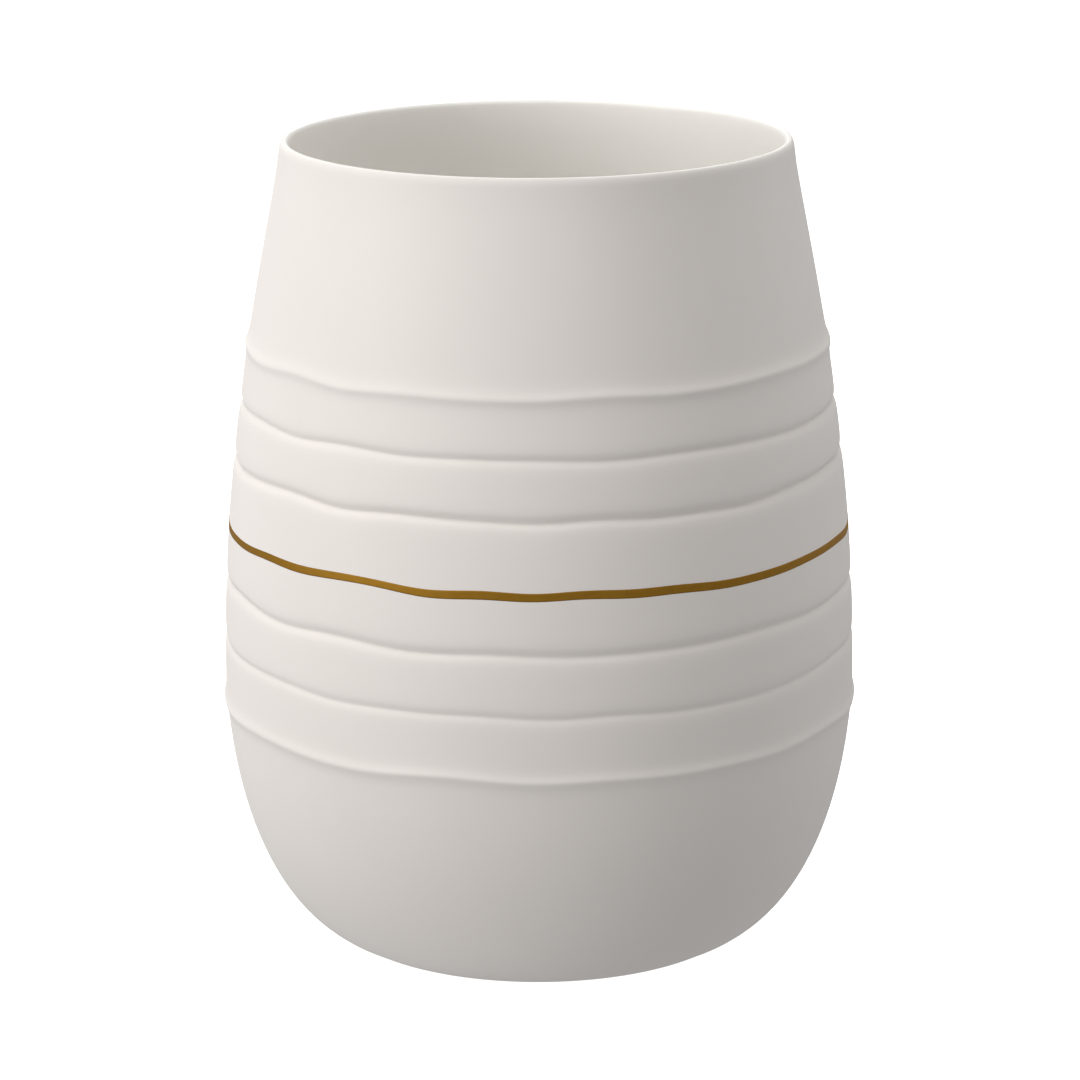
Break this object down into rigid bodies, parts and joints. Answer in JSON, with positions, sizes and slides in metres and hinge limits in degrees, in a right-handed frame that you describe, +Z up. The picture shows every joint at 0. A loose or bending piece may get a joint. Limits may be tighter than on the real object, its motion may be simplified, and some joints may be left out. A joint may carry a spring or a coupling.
{
  "type": "porcelain vase",
  "caption": "Barrel-shaped matte white porcelain vase with a wide mouth, a glazed inside, wavering relief lines and a hand-drawn gold line.",
  "frame": {"origin": "centre of the foot, on the surface the vase stands on", "axes": "+Z up along the vase's axis, from the foot to the mouth; -Y is the front that the picture shows"},
  "size_m": [0.1813, 0.1812, 0.23],
  "materials": {
    "bisque_porcelain": "matte, unglazed, very fine grain",
    "clear_glaze": "smooth satin glaze, faintly warm grey",
    "fired_gold": "hand-painted fired gold, matte with a soft sheen"
  },
  "bodies": {
    "root": {"porcelain_body": "bisque_porcelain", "interior_glaze": "clear_glaze", "gold_line": "fired_gold"}
  },
  "joints": []
}
